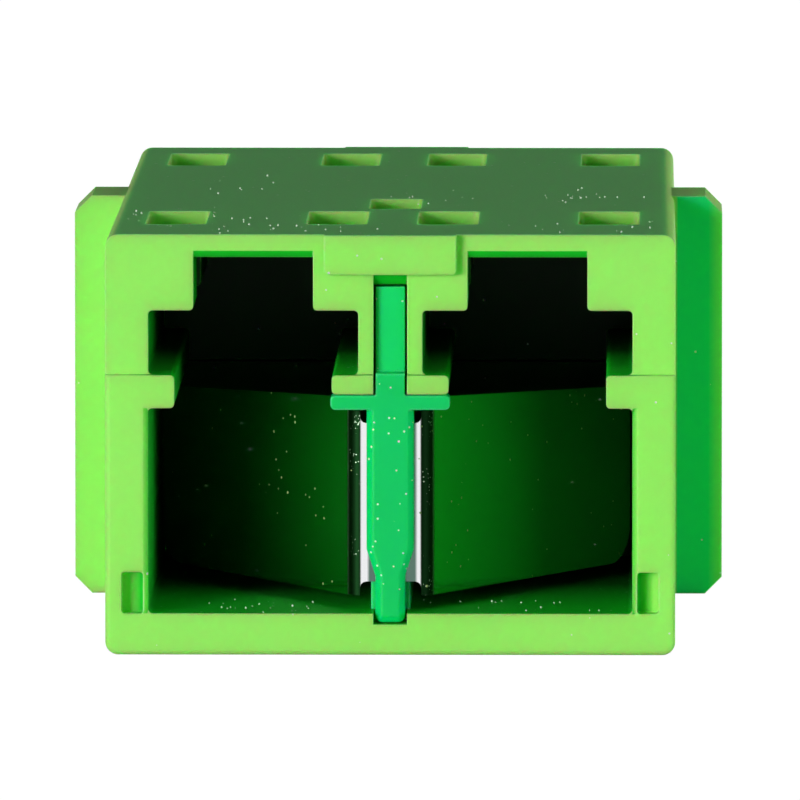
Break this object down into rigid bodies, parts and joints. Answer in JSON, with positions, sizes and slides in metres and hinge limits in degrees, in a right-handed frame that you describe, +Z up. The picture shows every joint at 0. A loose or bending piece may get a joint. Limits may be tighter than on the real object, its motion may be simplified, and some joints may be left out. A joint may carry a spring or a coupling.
{
  "type": "duplex fiber optic coupler",
  "caption": "Duplex panel adapter for small form factor fibre connectors: a stepped green moulding with latch slots, top windows, flange ears, split sleeves and a sprung inner shutter.",
  "frame": {"origin": "on the underside, at the middle of the length and the width", "axes": "+X right seen from the shuttered front, +Y from the front face to the rear along the fibre lines, +Z up through the windowed top wall"},
  "size_m": [0.0152, 0.028, 0.0096],
  "materials": {
    "body_green": "satin moulded",
    "holder_green": "satin moulded",
    "retainer_green": "satin moulded",
    "spring_steel": "bright rolled",
    "zirconia": "ground"
  },
  "bodies": {
    "adapter": {"housing": "body_green", "sleeve_retainer": "retainer_green", "shutter_holder": "holder_green", "shutter_spring": "spring_steel", "split_sleeve_left": "zirconia", "split_sleeve_right": "zirconia"},
    "left_leaf": {"shutter_leaf_left": "spring_steel"},
    "right_leaf": {"shutter_leaf_right": "spring_steel"}
  },
  "joints": [
    {"name": "left_shutter", "type": "hinge", "parent": "adapter", "child": "left_leaf", "pos_m": [-0.0007, -0.01279, 0.0035], "axis": [0, 0, -1], "range_deg": [0, 30], "stiffness_Nm_per_rad": 0.002, "springref_deg": -5.73},
    {"name": "right_shutter", "type": "hinge", "parent": "adapter", "child": "right_leaf", "pos_m": [0.0007, -0.01279, 0.0035], "axis": [0, 0, 1], "range_deg": [0, 30], "stiffness_Nm_per_rad": 0.002, "springref_deg": -5.73}
  ]
}
